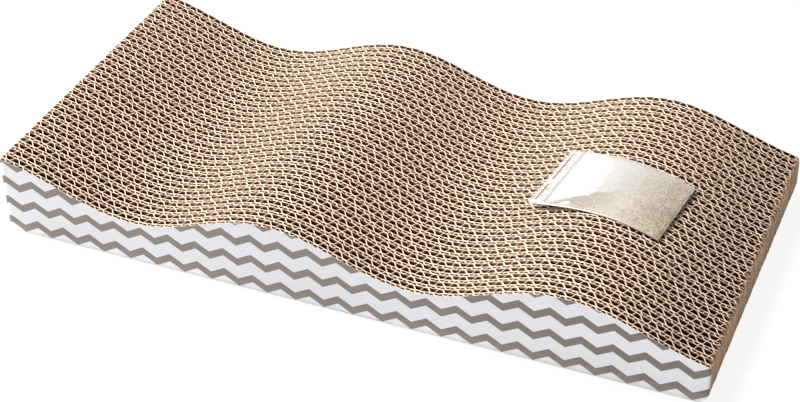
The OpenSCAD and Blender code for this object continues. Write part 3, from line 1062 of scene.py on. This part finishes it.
def crumb_tree():
    """Flat crumbs of leaf strewn over the top of a pile."""
    web, given, result = geometry_web("Strewn crumbs", {
        "Pile": "Geometry", "Density": "Float", "Crumb Size": "Float", "Leaf": "Material", "Seed": "Int"})
    _, _, facing = web.split(web.add("GeometryNodeInputNormal").outputs[0])
    spots = web.add("GeometryNodeDistributePointsOnFaces", {
        "Mesh": given["Pile"], "Selection": web.math("GREATER_THAN", facing, LEVEL_SHARE),
        "Density": given["Density"], "Seed": given["Seed"]})
    crumb = web.add("GeometryNodeMeshIcoSphere", {"Radius": 1.0, "Subdivisions": 1})
    size = web.add("FunctionNodeRandomValue", {
        "Min": LEAST_CRUMB_SHARE, "Max": 1.0, "Seed": SIZE_SEED}, data_type="FLOAT")
    crumb_l = Field(web, size.outputs[1]) * given["Crumb Size"]
    tilt = web.add("FunctionNodeRandomValue", {
        "Min": (-CRUMB_TILT, -CRUMB_TILT, 0.0), "Max": (CRUMB_TILT, CRUMB_TILT, math.tau),
        "Seed": TURN_SEED}, data_type="FLOAT_VECTOR")
    turn = web.add("FunctionNodeEulerToRotation", {0: tilt.outputs[0]})
    strewn = web.add("GeometryNodeInstanceOnPoints", {
        "Points": spots.outputs["Points"], "Instance": crumb.outputs["Mesh"],
        "Rotation": turn.outputs[0],
        "Scale": web.vector(crumb_l, crumb_l * CRUMB_BREADTH_SHARE, crumb_l * CRUMB_FLAT_SHARE)})
    both = web.add("GeometryNodeJoinGeometry")
    web.feed(given["Pile"], both.inputs[0])
    web.feed(strewn.outputs[0], both.inputs[0])
    real = web.add("GeometryNodeRealizeInstances", {0: both.outputs[0]})
    leaf = web.add("GeometryNodeSetMaterial", {"Geometry": real.outputs[0], "Material": given["Leaf"]})
    web.feed(leaf.outputs[0], result.inputs[0])
    return web.tree


class SCRATCHER_OT_catnip(Operator):
    """Make the crumbled herb in the bag"""

    bl_idname = "scratcher.catnip"
    bl_label = "Catnip"

    def execute(self, context):
        bag = context.scene.scratcher_bag
        form = BagForm(bag, context.scene.scratcher_wave)
        leaf = herb_material(bag)
        us = steps(form.herb_start, form.herb_end, PILE_STEP)
        vs = steps(-form.herb_half_w, form.herb_half_w, PILE_STEP)

        def top(u, v):
            """The pile's lumpy top, below the crumbs that lie on it."""
            lump = noise.noise(Vector((u / LUMP_L, v / LUMP_L, LUMP_SEED)))
            height = form.pile_h(u, v) - CRUMBS_T + LUMP_H * lump
            return bag.film_t + max(LEAST_PILE_T, height)

        pile = shell_object("pile", us, vs, form.point, lambda u, v: bag.film_t + FILM_GAP, top, leaf)
        base = pile.data
        bpy.data.objects.remove(pile, do_unlink=True)
        piece = grown("catnip_leaf", crumb_tree(), {
            "Density": bag.crumb_density, "Crumb Size": bag.crumb_l, "Leaf": leaf, "Seed": CRUMB_SEED}, base)
        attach(piece, BAG)
        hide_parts("catnip")
        return {"FINISHED"}


# Camera, lamps and floor

LAMPS = (
    # Name, place, what it looks at, and size
    ("key", (-0.74, 1.26, 0.54), (0.115, 0.0, 0.055), 0.45),
    ("top", (-2.6, 0.3, 4.4), (0.0, 0.0, 0.03), 1.5),
    ("fill", (-1.6, -1.3, 0.35), (0.0, 0.0, 0.03), 0.8),
)
# Half the floor's side, and how far it lies below the block
FLOOR_HALF, FLOOR_GAP = 4.0, 0.2 * MM
# Share of plain white in the floor that the camera sees, the rest of which shows shadows
WHITE_SHARE = 0.9


def seen_directly(web):
    """1 where the camera sees a place, itself or in gloss or through clear film."""
    rays = web.add("ShaderNodeLightPath")
    seen = Field(web, rays.outputs["Is Camera Ray"])
    for kind in ("Is Glossy Ray", "Is Transmission Ray"):
        seen = web.math("MAXIMUM", seen, Field(web, rays.outputs[kind]))
    return seen


def floor_material(floor_colour):
    """A pale floor that the camera sees as white, with the object's soft shadow on it."""
    material = bpy.data.materials.new("pale_floor")
    material.use_nodes = True
    web = Web(material.node_tree)
    web.tree.nodes.clear()
    plain = web.add("ShaderNodeBsdfDiffuse", {"Color": (*floor_colour, 1.0)})
    white = web.add("ShaderNodeEmission", {"Color": (1, 1, 1, 1), "Strength": 1.0})
    seen = seen_directly(web)
    blend = web.add("ShaderNodeMixShader", {0: seen * WHITE_SHARE, 1: plain.outputs[0], 2: white.outputs[0]})
    output = web.add("ShaderNodeOutputMaterial")
    web.feed(blend.outputs[0], output.inputs[0])
    return material


def area_lamp(name, place, target, size, watts):
    """A soft square lamp that looks at a target."""
    lamp = bpy.data.lights.new(name, "AREA")
    lamp.shape = "SQUARE"
    lamp.size = size
    lamp.energy = watts
    holder = bpy.data.objects.new(name, lamp)
    holder.location = place
    holder.rotation_euler = (Vector(target) - Vector(place)).to_track_quat("-Z", "Y").to_euler()
    bpy.context.scene.collection.objects.link(holder)


class SCRATCHER_OT_stage(Operator):
    """Make the floor, the lamps, the sky and the camera"""

    bl_idname = "scratcher.stage"
    bl_label = "Stage"

    def execute(self, context):
        scene = context.scene
        setup = scene.scratcher_stage
        mesh = bpy.data.meshes.new("floor")
        corners = ((-1, -1), (1, -1), (1, 1), (-1, 1))
        points = [(x * FLOOR_HALF, y * FLOOR_HALF, -FLOOR_GAP) for x, y in corners]
        mesh.from_pydata(points, [], [(0, 1, 2, 3)])
        mesh.materials.append(floor_material(setup.floor_colour))
        floor = bpy.data.objects.new("floor", mesh)
        scene.collection.objects.link(floor)

        world = bpy.data.worlds.new("studio")
        world.use_nodes = True
        web = Web(world.node_tree)
        sky = world.node_tree.nodes["Background"]
        sky.inputs["Color"].default_value = (1, 1, 1, 1)
        seen = seen_directly(web)
        web.feed(seen * (1 - setup.sky_level) + setup.sky_level, sky.inputs["Strength"])
        scene.world = world

        for name, place, target, size in LAMPS:
            area_lamp(name + "_lamp", place, target, size, getattr(setup, name + "_power"))

        camera = bpy.data.cameras.new("camera")
        camera.lens = setup.lens
        camera.sensor_width = 36
        camera.clip_start = 0.01
        holder = bpy.data.objects.new("camera", camera)
        holder.location = setup.eye
        holder.rotation_euler = Euler(setup.aim, "XYZ")
        scene.collection.objects.link(holder)
        scene.camera = holder
        scene.view_settings.view_transform = "Standard"
        return {"FINISHED"}


OPERATORS = (
    SCRATCHER_OT_stage, SCRATCHER_OT_boards, SCRATCHER_OT_films, SCRATCHER_OT_zip, SCRATCHER_OT_catnip)
SETTINGS = {
    "scratcher_wave": ScratcherWave, "scratcher_board": ScratcherBoard,
    "scratcher_print": ScratcherPrint, "scratcher_bag": ScratcherBag, "scratcher_stage": ScratcherStage}


class SCRATCHER_PT_panel(Panel):
    """The steps that make the scratcher"""

    bl_idname = "SCRATCHER_PT_panel"
    bl_label = "Cat Scratcher"
    bl_space_type = "VIEW_3D"
    bl_region_type = "UI"
    bl_category = "Scratcher"

    def draw(self, context):
        for operator in OPERATORS:
            self.layout.operator(operator.bl_idname)
        for name, group in SETTINGS.items():
            box = self.layout.box()
            for key in group.__annotations__:
                box.prop(getattr(context.scene, name), key)


CLASSES = (*SETTINGS.values(), *OPERATORS, SCRATCHER_PT_panel)


def register():
    for cls in CLASSES:
        bpy.utils.register_class(cls)
    for name, group in SETTINGS.items():
        setattr(bpy.types.Scene, name, PointerProperty(type=group))


def unregister():
    for name in SETTINGS:
        delattr(bpy.types.Scene, name)
    for cls in reversed(CLASSES):
        bpy.utils.unregister_class(cls)


def main():
    register()
    bpy.ops.scratcher.stage()
    bpy.ops.scratcher.boards()
    bpy.ops.scratcher.films()
    bpy.ops.scratcher.zip()
    bpy.ops.scratcher.catnip()


if __name__ == "__main__":
    main()
